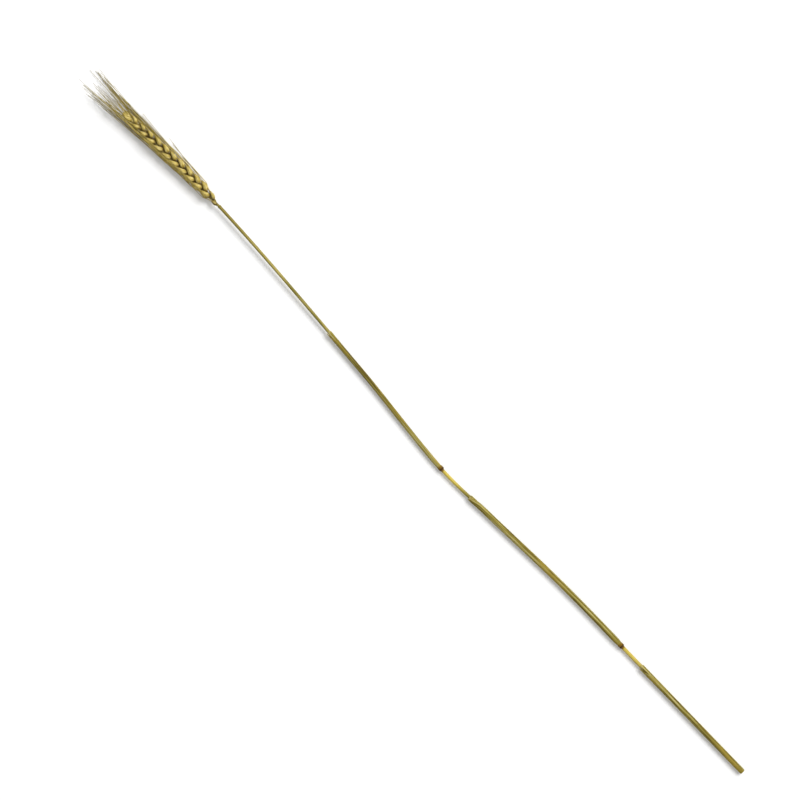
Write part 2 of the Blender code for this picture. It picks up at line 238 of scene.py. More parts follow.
def srgb(red, green, blue):
    """A colour given from 0 to 255, as the linear colour of the surface itself."""
    parts = [c / 255 for c in (red, green, blue)]
    parts = [c / 12.92 if c < 0.04045 else ((c + 0.055) / 1.055) ** 2.4 for c in parts]
    return (*(c / LIT for c in parts), 1)


def add_node(tree, kind, inputs=(), **settings):
    """A node with settings, and values or links for its inputs."""
    made = tree.nodes.new(kind)
    for name, value in settings.items():
        setattr(made, name, value)
    for name, value in dict(inputs).items():
        if isinstance(value, bpy.types.NodeSocket):
            tree.links.new(value, made.inputs[name])
        else:
            made.inputs[name].default_value = value
    return made


def new_material(name):
    """An empty Principled material, with its tree and its shader."""
    made = bpy.data.materials.new(name)
    made.use_nodes = True
    return made, made.node_tree, made.node_tree.nodes["Principled BSDF"]


def place_notes(tree, stretch, shift=(0, 0, 0)):
    """The place that each vertex noted, in mm, stretched for a pattern."""
    note = add_node(tree, "ShaderNodeAttribute", attribute_name="place")
    inputs = {"Vector": note.outputs["Vector"], "Scale": stretch, "Location": shift}
    return add_node(tree, "ShaderNodeMapping", inputs).outputs["Vector"]


def attribute(tree, name):
    """A number that each vertex carries."""
    return add_node(tree, "ShaderNodeAttribute", attribute_name=name).outputs["Fac"]


def noise(tree, vector, detail=3.0, rough=0.55):
    """Noise around 0.5, with features about 1 wide in the vector's own measure."""
    inputs = {"Vector": vector, "Scale": 1.0, "Detail": detail, "Roughness": rough}
    return add_node(tree, "ShaderNodeTexNoise", inputs).outputs["Fac"]


def math_node(tree, operation, a, b=0.0):
    return add_node(tree, "ShaderNodeMath", {0: a, 1: b}, operation=operation).outputs[0]


def vector_node(tree, operation, a, b=(0, 0, 0)):
    return add_node(tree, "ShaderNodeVectorMath", {0: a, 1: b}, operation=operation).outputs[0]


def ramp(tree, factor, stops):
    """A colour ramp through (position, colour) stops."""
    made = add_node(tree, "ShaderNodeValToRGB", {"Fac": factor})
    band = made.color_ramp
    for _ in stops[2:]:
        band.elements.new(0.5)
    for element, (position, colour) in zip(band.elements, stops):
        element.position = position
        element.color = colour
    return made.outputs["Color"]


def blend_colours(tree, factor, a, b):
    """The first colour where the factor is 0 and the second where it is 1."""
    return add_node(tree, "ShaderNodeMix", {0: factor, 6: a, 7: b}, data_type="RGBA").outputs[2]


def mix_values(tree, factor, a, b):
    """The same for two numbers."""
    return add_node(tree, "ShaderNodeMix", {0: factor, 2: a, 3: b}, data_type="FLOAT").outputs[0]


def fade(tree, value, start, end):
    """0 at start and 1 at end, smoothly."""
    inputs = {"Value": value, "From Min": start, "From Max": end}
    made = add_node(tree, "ShaderNodeMapRange", inputs, interpolation_type="SMOOTHSTEP")
    return made.outputs["Result"]


def along_axis(tree, axis):
    """One coordinate of the noted place, in mm."""
    note = add_node(tree, "ShaderNodeAttribute", attribute_name="place")
    split = add_node(tree, "ShaderNodeSeparateXYZ", {"Vector": note.outputs["Vector"]})
    return split.outputs[axis]


def dress(tree, shader, colour, roughness, relief, strength, depth_mm):
    """Links a colour, a roughness and a bump to the shader."""
    tree.links.new(colour, shader.inputs["Base Color"])
    tree.links.new(roughness, shader.inputs["Roughness"])
    shader.inputs["Specular IOR Level"].default_value = SHEEN
    inputs = {"Height": relief, "Strength": strength, "Distance": depth_mm * MM}
    bump = add_node(tree, "ShaderNodeBump", inputs)
    tree.links.new(bump.outputs["Normal"], shader.inputs["Normal"])


# %% [markdown]
# ## Straw
# Dry straw is satin and golden, with fine lines of darker fibre. Each joint is a dark brown ring,
# and the stretch just below it, which its leaf kept out of the sun, is a bright clear yellow. All
# of it depends on the distance along the stalk, which is the Z of the noted place.

# %% The straw's material
# the ear's own stalk is darkened past here, as painted shade among the husks
IN_EAR_MM = STRAW_LENGTH / MM + 5  # past here the ear's own stalk is hidden among husks, and darker
RING_EDGE, RING_BROWN = srgb(126, 94, 10), srgb(70, 44, 2)


def straw_material():
    """Streaks along the stalk, a dark ring at each joint with bright gold below it, painted shade in
    the ear.
    """
    made, tree, shader = new_material("straw_skin")
    fibre = noise(tree, place_notes(tree, (7.0, 7.0, 0.05)), detail=5, rough=0.65)
    bands = noise(tree, place_notes(tree, (1.1, 1.1, 0.012)))
    patches = noise(tree, place_notes(tree, (0.2, 0.2, 0.025), (3, 8, 2)), detail=2)
    streaks = mix_values(tree, 0.5, fibre, bands)
    colour = ramp(tree, streaks, (
        (0.39, srgb(92, 77, 14)),
        (0.47, srgb(142, 126, 44)),
        (0.54, srgb(173, 158, 78)),
        (0.62, srgb(206, 192, 128)),
    ))
    colour = blend_colours(tree, fade(tree, patches, 0.45, 0.62), colour, srgb(128, 118, 40))
    golden = blend_colours(tree, fade(tree, streaks, 0.4, 0.6), srgb(184, 150, 16), srgb(220, 200, 86))
    wander = math_node(tree, "MULTIPLY", fibre, 0.6)
    along = along_axis(tree, "Z")
    for joint in (LOWER_JOINT, UPPER_JOINT):
        below = math_node(tree, "SUBTRACT", joint / MM, along)
        bare = math_node(tree, "MULTIPLY", fade(tree, below, 0.4, 1.6), fade(tree, below, 30, 9))
        colour = blend_colours(tree, math_node(tree, "MULTIPLY", bare, 0.85), colour, golden)
        ring = math_node(tree, "ADD", math_node(tree, "ABSOLUTE", below), wander)
        colour = blend_colours(tree, fade(tree, ring, 3.6, 2.1), colour, RING_EDGE)
        colour = blend_colours(tree, fade(tree, ring, 2.0, 1.2), colour, RING_BROWN)
    # painted shade: the ear's own stalk is darkened where it runs among the husks
    shade_in_ear = fade(tree, along, IN_EAR_MM, IN_EAR_MM + 8)
    colour = blend_colours(tree, shade_in_ear, colour, srgb(90, 68, 12))
    dress(tree, shader, colour, fade(tree, fibre, -0.6, 1.4), fibre, 0.3, 0.1)
    return made


straw_skin = straw_material()

# %% [markdown]
# ## The straw itself
# A straw is a thin tube, barely tapered, with a swelling at each joint and shallow ribs all round.
# It could be a curve with a bevel, but a curve can't have ribs or a hollow end. Here a disc is
# added where the ear begins and extruded down the stalk, ring by ring, each ring resized to the
# straw's radius there. The last face is the cut: it is inset to the wall and pushed up inside.

# %% Straw: sizes
STRAW_RADIUS = 1.3 * MM
NECK_RADIUS = 1.1 * MM
JOINT_RADIUS = 1.7 * MM
JOINT_HALF_LENGTH = 1.9 * MM
JOINT_FULL_HALF_LENGTH = 0.8 * MM
STRAW_SIDES = 64
STRAW_STEP = 4 * MM
JOINT_STEP = 0.35 * MM
STRAW_RIB = 0.982  # of the radius, in the grooves
STRAW_WALL = 0.45 * MM
STRAW_SKIN = NECK_RADIUS - 0.05 * MM  # the outside lies beyond this radius, and the bore within it
BORE_DEPTH = 40 * MM


def straw_radius(along):
    """It thins towards the ear and swells at its two joints."""
    plain = STRAW_RADIUS + (NECK_RADIUS - STRAW_RADIUS) * eased(along / STRAW_LENGTH)
    beyond = min(abs(along - joint) for joint in (LOWER_JOINT, UPPER_JOINT)) - JOINT_FULL_HALF_LENGTH
    swell = 1 - eased(beyond / (JOINT_HALF_LENGTH - JOINT_FULL_HALF_LENGTH))
    return plain + (JOINT_RADIUS - plain) * swell


def straw_places():
    """Ring places from the ear's base down to the cut, close together on the joints."""
    rings = math.ceil(STRAW_LENGTH / STRAW_STEP)
    even = [STRAW_LENGTH * i / rings for i in range(rings + 1)]
    reach = JOINT_HALF_LENGTH + 2 * JOINT_STEP
    steps = math.ceil(reach / JOINT_STEP)
    joints = (LOWER_JOINT, UPPER_JOINT)
    close = [joint + reach * k / steps for joint in joints for k in range(-steps, steps + 1)]
    clear = [a for a in even if min(abs(a - joint) for joint in joints) > reach + MM]
    return sorted(clear + close, reverse=True)


# %% Straw: extrude it down the stalk
bpy.ops.object.select_all(action="DESELECT")
places = straw_places()
bpy.ops.mesh.primitive_circle_add(
    vertices=STRAW_SIDES, radius=straw_radius(places[0]), fill_type="NGON"
)
straw = begin("straw")
bpy.ops.transform.translate(value=(0, 0, places[0]))
for here, there in zip(places, places[1:]):
    add_ring(there - here, straw_radius(there) / straw_radius(here), there)
bpy.ops.mesh.inset(thickness=STRAW_WALL)
bpy.ops.mesh.extrude_region_move(TRANSFORM_OT_translate={"value": (0, 0, BORE_DEPTH)})
print("the straw has", len(places), "rings")

# %% Straw: its ribs, then lay it down
def in_groove(co):
    """Every second line of the straw's outside."""
    line = round(math.atan2(co.y, co.x) / (2 * math.pi / STRAW_SIDES))
    return line % 2 and math.hypot(co.x, co.y) > STRAW_SKIN


pick(in_groove)
bpy.ops.transform.resize(value=(STRAW_RIB, STRAW_RIB, 1), center_override=(0, 0, 0))
close_up()
note_places(straw)
lay_along_stalk(straw)
keep(straw, "culm", straw_skin)

# %% [markdown]
# ## Leaf sheaths
# A wheat leaf begins as a sheath, rolled right round the straw from its joint upwards with one
# margin over the other. So it is made as it grows: a flat ribbed strip, rolled up. The strip is a
# grid whose every second column is lifted into a rib. The blades have been stripped away, which
# left a slanting, torn top edge. A wall of real thickness comes last, from Solidify.

# %% The leaf sheath's material
RIB_MM = 0.42  # from one rib of a leaf sheath to the next


def sheath_material():
    """Dull streaked olive with dark flecks, painted shade in the furrows between the ribs and a brown
    foot.
    """
    made, tree, shader = new_material("leaf_sheath_skin")
    fibre = noise(tree, place_notes(tree, (3.2, 1.0, 0.07)), detail=5)
    bands = noise(tree, place_notes(tree, (0.8, 1.0, 0.012), (5, 0, 0)))
    patches = noise(tree, place_notes(tree, (0.12, 0.1, 0.03)))
    flecks = noise(tree, place_notes(tree, (1.6, 1.0, 0.35), (7, 3, 1)), detail=2)
    colour = ramp(tree, mix_values(tree, 0.6, fibre, bands), (
        (0.4, srgb(76, 60, 6)),
        (0.47, srgb(128, 114, 30)),
        (0.53, srgb(170, 157, 70)),
        (0.6, srgb(218, 205, 138)),
    ))
    colour = blend_colours(tree, fade(tree, patches, 0.5, 0.68), colour, srgb(172, 150, 56))
    colour = blend_colours(tree, fade(tree, flecks, 0.66, 0.78), colour, srgb(82, 56, 18))
    # painted shade: darker in the furrows between the ribs
    across = math_node(tree, "MULTIPLY", along_axis(tree, "X"), math.pi / RIB_MM)
    furrow_shade = fade(tree, math_node(tree, "ABSOLUTE", math_node(tree, "SINE", across)), 0.9, 0.0)
    colour = blend_colours(tree, math_node(tree, "MULTIPLY", furrow_shade, 0.55), colour, srgb(74, 60, 10))
    colour = blend_colours(tree, attribute(tree, "rim"), colour, srgb(196, 180, 116))
    foot = attribute(tree, "foot")
    colour = blend_colours(tree, fade(tree, foot, 0.0, 0.6), colour, RING_EDGE)
    colour = blend_colours(tree, fade(tree, foot, 0.72, 0.98), colour, RING_BROWN)
    dress(tree, shader, colour, fade(tree, fibre, -0.9, 1.0), fibre, 0.4, 0.12)
    return made


leaf_skin = sheath_material()

# %% Sheath: sizes
SHEATH_ROW = 2.2 * MM  # between cross rows of the strip
ROW_CROWDING = 0.14  # towards its ends
RIB_HEIGHT = 0.055 * MM
LEAF_THICKNESS = 0.24 * MM
OVERLAP = math.radians(48)  # of one margin over the other
OVERLAP_LIFT = 0.36 * MM  # the outer margin rides on the inner one
MOUTH = 12 * MM  # over this stretch below the collar it opens and slants. Over less, rows fold
MOUTH_GAP = 0.15  # radians between the margins at the collar
MOUTH_SPREAD = 0.05  # of the radius, at the collar
CORNER = 1.8 * MM  # cut back where the collar meets a margin
CORNER_SHARE = 0.06  # of the strip's width, which each corner takes
COLLAR_SLANT = math.radians(32)
TORN_MM = 0.28  # the deepest wave of the torn collar
PALE_RIM = 2 * MM
PALEST_RIM = 0.7
FOOT_START = -1.1 * MM  # from its joint's middle, where a sheath springs from it
FOOT_LENGTH = 6 * MM  # over which it widens to its full size
FOOT_PROUD = 0.08 * MM  # of the joint under it
BROWN_FOOT = 4.2 * MM


def close_rows(start, collar):
    """Draws the rows of a strip together towards both of its ends."""
    shape = bmesh.from_edit_mesh(bpy.context.object.data)
    for vertex in shape.verts:
        t = (vertex.co.y - start) / (collar - start)
        vertex.co.y = start + (collar - start) * (t - ROW_CROWDING * math.sin(2 * math.pi * t))
    bmesh.update_edit_mesh(bpy.context.object.data)


def torn(angle, seed):
    """How far back the collar is torn at this angle, in mm."""
    waves = (1.0, 3, 0.2), (0.6, 7, 1.3), (0.45, 13, 2.9), (0.3, 23, 4.1)
    return sum(size * math.sin(count * angle + phase * seed) for size, count, phase in waves) * TORN_MM


def flat_strip(name, start, collar, ribs):
    """A ribbed strip of leaf from start up to its collar, along Z, with its ribs towards Y."""
    rows = math.ceil((collar - start) / SHEATH_ROW)
    bpy.ops.object.select_all(action="DESELECT")
    bpy.ops.mesh.primitive_grid_add(x_subdivisions=2 * ribs, y_subdivisions=rows, size=2)
    piece = begin(name)
    width = ribs * RIB_MM * MM
    bpy.ops.transform.resize(value=(width / 2, (collar - start) / 2, 1))
    bpy.ops.transform.translate(value=(width / 2, (collar + start) / 2, 0))
    close_rows(start, collar)
    pick(lambda co: round(2 * co.x / (RIB_MM * MM)) % 2)
    bpy.ops.transform.translate(value=(0, 0, RIB_HEIGHT))
    bpy.ops.object.mode_set(mode="OBJECT")
    for vertex in piece.data.vertices:
        vertex.co = vertex.co.xzy
    return piece, width


# %% Sheath: from a flat strip to a rolled leaf
def leaf_sheath(name, start, collar, radius, seam, seed):
    """A rolled leaf, its outer margin at the seam's angle. At 0 it starts at the cut, with no foot."""
    turn = 2 * math.pi + OVERLAP
    piece, width = flat_strip(name, start, collar, round(turn * radius / (RIB_MM * MM)))
    note_places(piece)
    rim = piece.data.attributes.new("rim", "FLOAT", "POINT")
    foot = piece.data.attributes.new("foot", "FLOAT", "POINT")
    inner = radius - RIB_HEIGHT - OVERLAP_LIFT
    for vertex, pale, brown in zip(piece.data.vertices, rim.data, foot.data):
        across, lift, along = vertex.co
        part = across / width
        mouth = eased((along - collar + MOUTH) / MOUTH)
        angle = seam + part * (turn - mouth * (OVERLAP + MOUTH_GAP))
        rides = eased(1.6 * part - 0.3)  # 0 near the inner margin and 1 near the outer one
        reach = (inner + OVERLAP_LIFT * rides) * (1 + MOUTH_SPREAD * mouth**3) + lift
        risen = eased((along - start) / FOOT_LENGTH) if start else 1
        clear = straw_radius(along) + FOOT_PROUD + lift
        reach = max(clear, clear * (1 - risen) + reach * risen)
        back = -radius * math.tan(COLLAR_SLANT) * (1 - math.sin(angle)) + (torn(angle, seed) - 1) * MM
        back -= CORNER * (1 - eased(min(part, 1 - part) / CORNER_SHARE))
        pale.value = PALEST_RIM * eased((along - collar + PALE_RIM) / PALE_RIM)
        brown.value = 1 - eased((along - start) / BROWN_FOOT) if start else 0
        vertex.co = (reach * math.cos(angle), reach * math.sin(angle), along + back * mouth)
    give_wall(piece, LEAF_THICKNESS)
    lay_along_stalk(piece)
    keep(piece, name.replace("leaf_", ""), leaf_skin)


# %% Sheath: the three of them
leaf_sheath("leaf_sheath_lower", 0, LOWER_COLLAR, 2.1 * MM, math.radians(60), 1.0)
leaf_sheath(
    "leaf_sheath_middle", LOWER_JOINT + FOOT_START, MIDDLE_COLLAR, 2.1 * MM, math.radians(128), 2.0
)
leaf_sheath(
    "leaf_sheath_upper", UPPER_JOINT + FOOT_START, UPPER_COLLAR, 1.8 * MM, math.radians(54), 3.0
)

# %% [markdown]
# ## The ear's plan
# Spikelets sit left and right in turn on a zigzag stalk. Each has two glumes on its outer faces and
# a floret inside each of them, a third floret between those two and a small fourth one behind it.
# Long awns grow from the florets' tips. The lowest spikelets are stunted and the ones near the tip
# get smaller again. The rule is the solid model's, so each fine husk lies where its solid one does.

# %% Ear: sizes
SPIKELETS = 23  # and one more on its tip
SPIKELET_PITCH = 3.65 * MM
FIRST_SPIKELET = 2.2 * MM
RACHIS_RADIUS = 0.95 * MM
RACHIS_TIP_RADIUS = 0.55 * MM
ZIGZAG = 0.35 * MM
EAR_ROLL = math.radians(14)
SPIKELET_LEAN = math.radians(20.5)
SPIKELET_OFFSET = -0.3 * MM
STUNTED = (0.58, 0.78, 0.92)
TIP_SPIKELET = 0.72
SMALLEST = 0.76
SHRINKS_FROM = 0.45
ROLL_VARIES = math.radians(4)
LEAN_VARIES = math.radians(1.5)
FAN_VARIES = math.radians(2)
HUSK_LENGTH_VARIES = 0.05
AWN_LENGTH_VARIES = 0.14
AWN_SPREAD_VARIES = 0.4
AWN_SCATTER = math.radians(26)
SIDE_FLORET = (8.3 * MM, 2.8 * MM, 2.8 * MM)  # length, width, depth
MIDDLE_FLORET = (7.4 * MM, 3.2 * MM, 2.8 * MM)
INNER_FLORET = (6.6 * MM, 2.6 * MM, 3.0 * MM)
AWN_LENGTH_BASE = 40 * MM
AWN_LENGTH_MIDDLE = 62 * MM
AWN_LENGTH_TIP = 37 * MM
AWN_SINK = 2.4 * MM
AWN_SPREAD_BASE = math.radians(0.8)
AWN_SPREAD_TIP = math.radians(9)
LOWEST_AWN = 0.45 * MM
SETTLING = 0.6 * MM


def vary(index, kind, amount):
    """A small, even variation of a repeated piece, from -amount to amount."""
    return amount * math.sin(2.399 * index + 1.7 * kind + 0.6 * index * kind)


def spikelet_size(index):
    """Stunted at the ear's base, and smaller again towards its tip."""
    base = STUNTED[index] if index < len(STUNTED) else 1
    shrunk = eased((index / (SPIKELETS - 1) - SHRINKS_FROM) / (1 - SHRINKS_FROM))
    return base * (1 + (SMALLEST - 1) * shrunk)


def awn_length(index):
    """Longest halfway up the ear."""
    halves = min(2 * index / (SPIKELETS - 1), 2)
    if halves < 1:
        return AWN_LENGTH_BASE + (AWN_LENGTH_MIDDLE - AWN_LENGTH_BASE) * eased(halves)
    return AWN_LENGTH_MIDDLE + (AWN_LENGTH_TIP - AWN_LENGTH_MIDDLE) * (halves - 1)


def turned(along, at, back):
    """The move that takes a husk's base to a point, its Z along it and its Y to its back."""
    side = back.cross(along).normalized()
    turn = Matrix((side, along.cross(side).normalized(), along.normalized())).transposed()
    return Matrix.Translation(at) @ turn.to_4x4()


# %% [markdown]
# ## Husks
# A floret's husk is a plump boat: pointed at the tip, fullest below its middle, keeled along its
# back and flatter inside. It starts as a sphere, because its rings and meridians are what the husk
# has too. Each ring is resized to the husk's outline, the inner side is flattened, and meridians
# are drawn out into the keel and the nerves.

# %% Husk: the plump floret
HUSK_RINGS = 18
HUSK_SIDES = 28
MERIDIAN = 2 * math.pi / HUSK_SIDES
FULLEST_LOW = 0.75
BLUNTNESS = 0.88
BACK_SWELL = 1.3
INNER_FLATNESS = 0.55
HUSK_BOW = 0.22
ON_RING = 0.002  # of the length, less than from one ring to the next
PLAIN_ENDS = 0.02  # of the length, where no line is raised
LINE_FADES = 0.2  # of the length, towards the tip


def fullness(t):
    """How wide a husk is at this share of its length."""
    return math.sin(math.pi * t**FULLEST_LOW) ** BLUNTNESS if 0 < t < 1 else 0


def sphere_to_husk(name, length, width, depth):
    """A sphere's rings resized to a husk's outline, in edit mode."""
    bpy.ops.object.select_all(action="DESELECT")
    bpy.ops.mesh.primitive_uv_sphere_add(segments=HUSK_SIDES, ring_count=HUSK_RINGS, radius=1)
    piece = begin(name)
    bpy.ops.transform.translate(value=(0, 0, 1))
    bpy.ops.transform.resize(value=(1, 1, length / 2), center_override=(0, 0, 0))
    for ring in range(1, HUSK_RINGS):
        round_radius = math.sin(math.pi * ring / HUSK_RINGS)
        t = (1 - math.cos(math.pi * ring / HUSK_RINGS)) / 2
        pick(lambda co: abs(co.z - t * length) < ON_RING * length)
        thin = fullness(t) / round_radius
        bpy.ops.transform.resize(
            value=(width / 2 * thin, depth / 2 * BACK_SWELL * thin, 1), center_override=(0, 0, 0)
        )
    pick(lambda co: co.y < -0.01 * MM)
    bpy.ops.transform.resize(value=(1, INNER_FLATNESS, 1), center_override=(0, 0, 0))
    return piece


def raise_line(length, meridians, reach, height):
    """Pushes the meridian this far round from the back outwards, as a keel or a nerve."""
    shape = bmesh.from_edit_mesh(bpy.context.object.data)
    line = math.pi / 2 - meridians * MERIDIAN
    for vertex in shape.verts:
        t = vertex.co.z / length
        around = math.atan2(vertex.co.y / BACK_SWELL, vertex.co.x)
        if round((around - line) / MERIDIAN) == 0 and PLAIN_ENDS < t < 1 - PLAIN_ENDS:
            outwards = Vector((vertex.co.x, vertex.co.y, 0)).normalized()
            vertex.co += outwards * height * eased(t / reach) * eased((1 - t) / LINE_FADES)
    bmesh.update_edit_mesh(bpy.context.object.data)


def bow(piece, length, depth):
    """Bends a husk outwards at its middle."""
    for vertex in piece.data.vertices:
        vertex.co.y += HUSK_BOW * depth * math.sin(math.pi * min(max(vertex.co.z / length, 0), 1))


def floret_husk():
    """The floret that all others are copied from: a keel, four nerves and a seam on either side."""
    length, width, depth = SIDE_FLORET
    piece = sphere_to_husk("floret_model", length, width, depth)
    raise_line(length, 0, 0.5, 0.15 * MM)
    for nerve in (-4, -2, 2, 4):
        raise_line(length, nerve, 0.4, 0.1 * MM)
    for seam in (-8, 8):
        raise_line(length, seam, 0.3, -0.14 * MM)
    close_up()
    note_places(piece)
    bow(piece, length, depth)
    return piece


floret_model = floret_husk()
print("a floret has", len(floret_model.data.polygons), "faces")

# %% [markdown]
# ## Glumes
# A glume is the stiff papery scale that cups a floret from outside. Its shape is the floret's own,
# a little larger, so it starts the same way. Its inner side is deleted, two slanting cuts that meet
# at the keel take off its upper third, a third cut rounds them off towards the front, and the corner
# at the keel is drawn out to a beak. What is left is an open shell, and Solidify gives it a wall that
# the light can catch along its edge.

# %% Husk: the open glume
GLUME_ROOM = 1.14  # times the width and depth of the floret inside
GLUME_TOP = 0.76  # of the floret's length
GLUME_SHOULDER = math.radians(56)  # slant of its two upper edges
GLUME_WALL = 0.16 * MM
GLUME_START = -0.55 * MM  # along the floret, below its base
GLUME_FLARE = math.radians(2.5)  # away from the floret
GLUME_FRONT, GLUME_CORNER = 0.3, 0.52  # where a third cut rounds the edges off towards the front
GLUME_OPEN = -0.16  # of the depth: the shell has nothing further in
BEAK = 0.7 * MM
BEAK_ROOT = 0.12 * MM  # how near the keel's corner a vertex is drawn out with it
BEAK_OUT = 0.1 * MM
MARGIN = 0.8 * MM  # the pale papery edge


def glume_husk():
    """The glume that all others are copied from."""
    length, width, depth = SIDE_FLORET
    top = GLUME_TOP * length
    piece = sphere_to_husk("glume_model", length, width * GLUME_ROOM, depth * GLUME_ROOM)
    pick(lambda co: co.y < GLUME_OPEN * depth)
    bpy.ops.mesh.delete(type="VERT")
    raise_line(length, 0, 0.3, 0.2 * MM)
    for nerve in (-6, -4, -2, 2, 4, 6):
        raise_line(length, nerve, 0.35, 0.1 * MM)
    for side in (-1, 1):
        bpy.ops.mesh.select_all(action="SELECT")
        bpy.ops.mesh.bisect(
            plane_co=(0, 0, top),
            plane_no=(side * math.sin(GLUME_SHOULDER), 0, math.cos(GLUME_SHOULDER)),
            clear_outer=True,
        )
    bpy.ops.mesh.select_all(action="SELECT")
    bpy.ops.mesh.bisect(
        plane_co=(0, GLUME_FRONT * depth, GLUME_CORNER * length),
        plane_no=(0, -math.sin(GLUME_SHOULDER), math.cos(GLUME_SHOULDER)),
        clear_outer=True,
    )
    pick(lambda co: abs(co.x) < BEAK_ROOT and co.y > 0 and co.z > top - BEAK_ROOT)
    bpy.ops.transform.translate(value=(0, BEAK_OUT, BEAK))
    close_up()
    note_places(piece)
    rim = piece.data.attributes.new("rim", "FLOAT", "POINT")
    for vertex, pale in zip(piece.data.vertices, rim.data):
        edge = top - abs(vertex.co.x) * math.tan(GLUME_SHOULDER)
        pale.value = eased(1 - (edge - vertex.co.z) / MARGIN)
    bow(piece, length, depth)
    give_wall(piece, GLUME_WALL)
    return piece


glume_model = glume_husk()
print("a glume has", len(glume_model.data.polygons), "faces")

# %% [markdown]
# ## Awns
# An awn is a stiff bristle, set with fine barbs that point to its tip. One straight awn is extruded
# from a six-sided disc, two steps to a barb: a long one that widens to the barb's point, and a
# short one that falls back, so that its outline is saw-toothed. Each copy is bent to its own line.

# %% Awn: one straight bristle
AWN_RADIUS = 0.22 * MM
AWN_TIP = 0.5  # of its root's thickness
AWN_SIDES = 6
BARBS = 44
BARB = 1.13  # how much wider it is at a barb's point
BARB_SLOPE = 0.82  # of a barb's length rises to its point, and the rest falls back
AWN_POINT = 0.3  # of its thickness there


def awn_bristle():
    """A bristle of length 1 that stands on the origin."""
    bpy.ops.object.select_all(action="DESELECT")
    bpy.ops.mesh.primitive_circle_add(vertices=AWN_SIDES, radius=AWN_RADIUS, fill_type="NGON")
    piece = begin("awn_model")
    last, thick = 0, 1
    for step in range(1, 2 * BARBS + 1):
        height = (step // 2 + BARB_SLOPE * (step % 2)) / BARBS
        wanted = (1 + (AWN_TIP - 1) * height) * (BARB if step % 2 else 1)
        add_ring(height - last, wanted / thick, height)
        last, thick = height, wanted
    bpy.ops.transform.resize(value=(AWN_POINT, AWN_POINT, 1), center_override=(0, 0, 1))
    close_up()
    note_places(piece, unit=1)
    return piece


awn_model = awn_bristle()
print("an awn has", len(awn_model.data.polygons), "faces")

# %% [markdown]
# ## Finishes of the ear
# The husks are pale gold along their middles and duller towards both ends. Where they go in between
# their neighbours they are darkened to brown, as painted shade. Each has its own tint, a number that
# all its vertices carry, so that no two are quite the same. The glumes have a pale edge. The awns fade
# from gold to a grey olive.

# %% The husks' material
def round_husk(tree, around, onward, shift):
    """Places for a pattern whose lines run from a husk's base to its tip, as its nerves do."""
    direction = vector_node(tree, "NORMALIZE", place_notes(tree, (1, 1, 0)))
    lines = vector_node(tree, "MULTIPLY", direction, (around, around, 0))
    shifted = vector_node(tree, "ADD", lines, shift)
    return vector_node(tree, "ADD", shifted, place_notes(tree, (0, 0, onward)))


def husk_material():
    """Mottled gold, with fine dark threads, that reads each husk's tint and rim, and its painted
    shade.
    """
    made, tree, shader = new_material("husk_skin")
    tint = attribute(tree, "tint")
    shift = add_node(tree, "ShaderNodeCombineXYZ", {"X": math_node(tree, "MULTIPLY", tint, 40.0)})
    mottle = noise(tree, round_husk(tree, 2.6, 0.3, shift.outputs[0]), detail=4)
    fibre = noise(tree, round_husk(tree, 11, 0.2, shift.outputs[0]))
    share = math_node(tree, "DIVIDE", along_axis(tree, "Z"), SIDE_FLORET[0] / MM)
    colour = ramp(tree, share, (
        (0.02, srgb(112, 84, 24)),
        (0.16, srgb(172, 146, 52)),
        (0.4, srgb(226, 204, 106)),
        (0.68, srgb(210, 186, 84)),
        (0.92, srgb(166, 138, 50)),
    ))
    colour = blend_colours(tree, fade(tree, mottle, 0.43, 0.66), colour, srgb(238, 221, 152))
    dull = math_node(tree, "MULTIPLY", fade(tree, mottle, 0.52, 0.3), 0.7)
    colour = blend_colours(tree, dull, colour, srgb(142, 114, 34))
    colour = blend_colours(tree, math_node(tree, "MULTIPLY", tint, 0.45), colour, srgb(162, 144, 52))
    thread = math_node(tree, "MULTIPLY", fade(tree, fibre, 0.52, 0.4), 0.55)
    colour = blend_colours(tree, thread, colour, srgb(134, 106, 26))
    edge = math_node(tree, "MULTIPLY", attribute(tree, "rim"), 0.6)
    colour = blend_colours(tree, edge, colour, srgb(224, 208, 140))
    # painted shade: the deeper a husk lies in the ear, the more it is darkened to dark brown
    painted_shade = math_node(tree, "MULTIPLY", attribute(tree, "painted_shade"), 0.9)
    colour = blend_colours(tree, painted_shade, colour, srgb(76, 54, 2))
    dress(tree, shader, colour, fade(tree, mottle, -0.7, 1.2), fibre, 0.5, 0.1)
    return made


husk_skin = husk_material()

# %% The awns' material
def awn_material():
    """Gold to grey olive along the awn, whose noted Z runs from 0 to 1."""
    made, tree, shader = new_material("awn_skin")
    tint = attribute(tree, "tint")
    colour = ramp(tree, along_axis(tree, "Z"), (
        (0.0, srgb(214, 188, 78)),
        (0.4, srgb(190, 168, 70)),
        (1.0, srgb(132, 120, 66)),
    ))
    grain = noise(tree, place_notes(tree, (2.0, 2.0, 30.0)), detail=2)
    colour = blend_colours(tree, fade(tree, tint, 0.4, 1.2), colour, srgb(132, 112, 38))
    colour = blend_colours(tree, math_node(tree, "MULTIPLY", grain, 0.5), colour, srgb(142, 126, 58))
    tree.links.new(colour, shader.inputs["Base Color"])
    tree.links.new(fade(tree, grain, -0.4, 1.2), shader.inputs["Roughness"])
    return made


awn_skin = awn_material()

# %% [markdown]
# ## The ear's own stalk
# Between the spikelets the stalk is flattened and swings from side to side, and it is thickest just
# under each spikelet. It shows only at the foot of the ear, where it meets the straw in a pale
# collar. It is extruded like the straw, a few rings to a step. The swing comes after the vertices
# have noted their places, so the fibres in its material don't slide across it.

